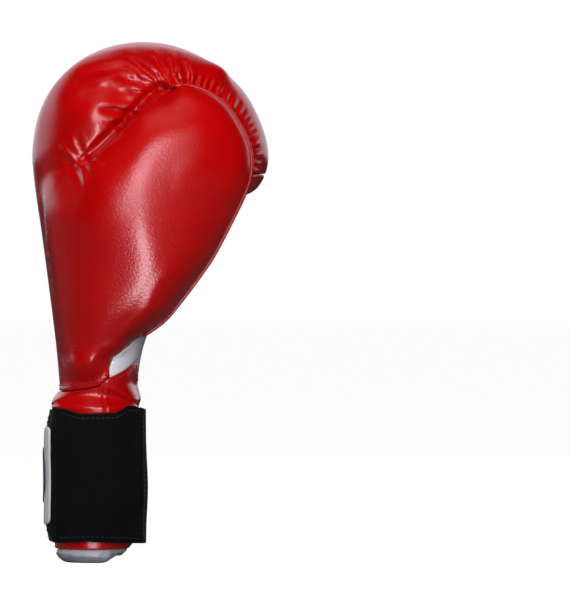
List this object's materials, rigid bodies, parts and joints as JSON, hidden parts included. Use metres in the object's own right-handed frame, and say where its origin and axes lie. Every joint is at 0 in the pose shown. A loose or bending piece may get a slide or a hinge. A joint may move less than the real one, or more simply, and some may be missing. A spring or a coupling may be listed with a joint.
{
  "type": "boxing glove",
  "caption": "Left-hand laceless boxing glove: padded leather fist with attached thumb, white palm panel, padded cuff and a hook-and-loop wrist strap.",
  "frame": {"origin": "centre of the hand opening, on the plane of the cuff's rim", "axes": "+Z from the cuff to the fingertips, +X from the back of the hand to the palm, -Y towards the thumb side"},
  "size_m": [0.146, 0.1458, 0.3205],
  "materials": {
    "red_leather": "glossy, finely pebbled",
    "white_leather": "glossy, smooth",
    "white_binding": "semi-matt, smooth",
    "black_webbing": "ribbed elastic weave",
    "hook_and_loop": "hook and loop pile",
    "lining_cloth": "plain weave",
    "soft_foam": "open-cell foam",
    "dense_foam": "closed-cell foam",
    "grip_rubber": "matt",
    "label_rubber": "satin moulded",
    "emblem_rubber": "satin moulded"
  },
  "bodies": {
    "cuff": {"cuff_leather": "red_leather", "cuff_foam": "soft_foam", "cuff_lining": "lining_cloth", "rim_binding": "white_binding", "slit_gore": "black_webbing", "loop_patch": "hook_and_loop", "strap_anchor": "black_webbing", "strap_anchor_patch": "black_webbing", "wrist_gusset": "red_leather"},
    "palm_strap": {"strap_elastic": "black_webbing"},
    "side_strap": {"strap_side_band": "black_webbing", "strap_side_lining": "black_webbing", "strap_side_hem": "black_webbing"},
    "tab": {"strap_tab_band": "black_webbing", "hook_patch": "hook_and_loop", "label_patch": "label_rubber", "label_emblem": "emblem_rubber", "tab_pull_hem": "black_webbing"},
    "fist": {"fist_leather": "red_leather", "fingertip_leather": "white_leather", "palm_leather": "white_leather", "knuckle_foam_soft": "soft_foam", "knuckle_foam_dense": "dense_foam", "palm_foam": "soft_foam", "grip_roll": "grip_rubber", "hand_lining": "lining_cloth", "thumb_leather_outer": "red_leather", "thumb_leather_inner": "red_leather", "thumb_foam": "soft_foam", "thumb_lining": "lining_cloth", "thumb_welt": "red_leather"}
  },
  "joints": [
    {"name": "wrist_flex", "type": "hinge", "parent": "cuff", "child": "fist", "pos_m": [0.001, 0, 0.103], "axis": [0, 1, 0], "range_deg": [-12, 15], "stiffness_Nm_per_rad": 2.5, "deforming": ["wrist_gusset"]},
    {"name": "strap_palm_lift", "type": "hinge", "parent": "cuff", "child": "palm_strap", "pos_m": [0.0304, 0.018, 0.0535], "axis": [0, 0, 1], "range_deg": [0, 33]},
    {"name": "strap_side_swing", "type": "hinge", "parent": "palm_strap", "child": "side_strap", "pos_m": [0.0304, -0.018, 0.0535], "axis": [0, 0, 1], "range_deg": [0, 88]},
    {"name": "strap_tab_peel", "type": "hinge", "parent": "side_strap", "child": "tab", "pos_m": [-0.02465, -0.03753, 0.0535], "axis": [0, 0, 1], "range_deg": [0, 110]}
  ],
  "couplings": [
    {"joint": "strap_side_swing", "follows": "strap_tab_peel", "ratio": 0.8},
    {"joint": "strap_palm_lift", "follows": "strap_tab_peel", "ratio": 0.3}
  ]
}
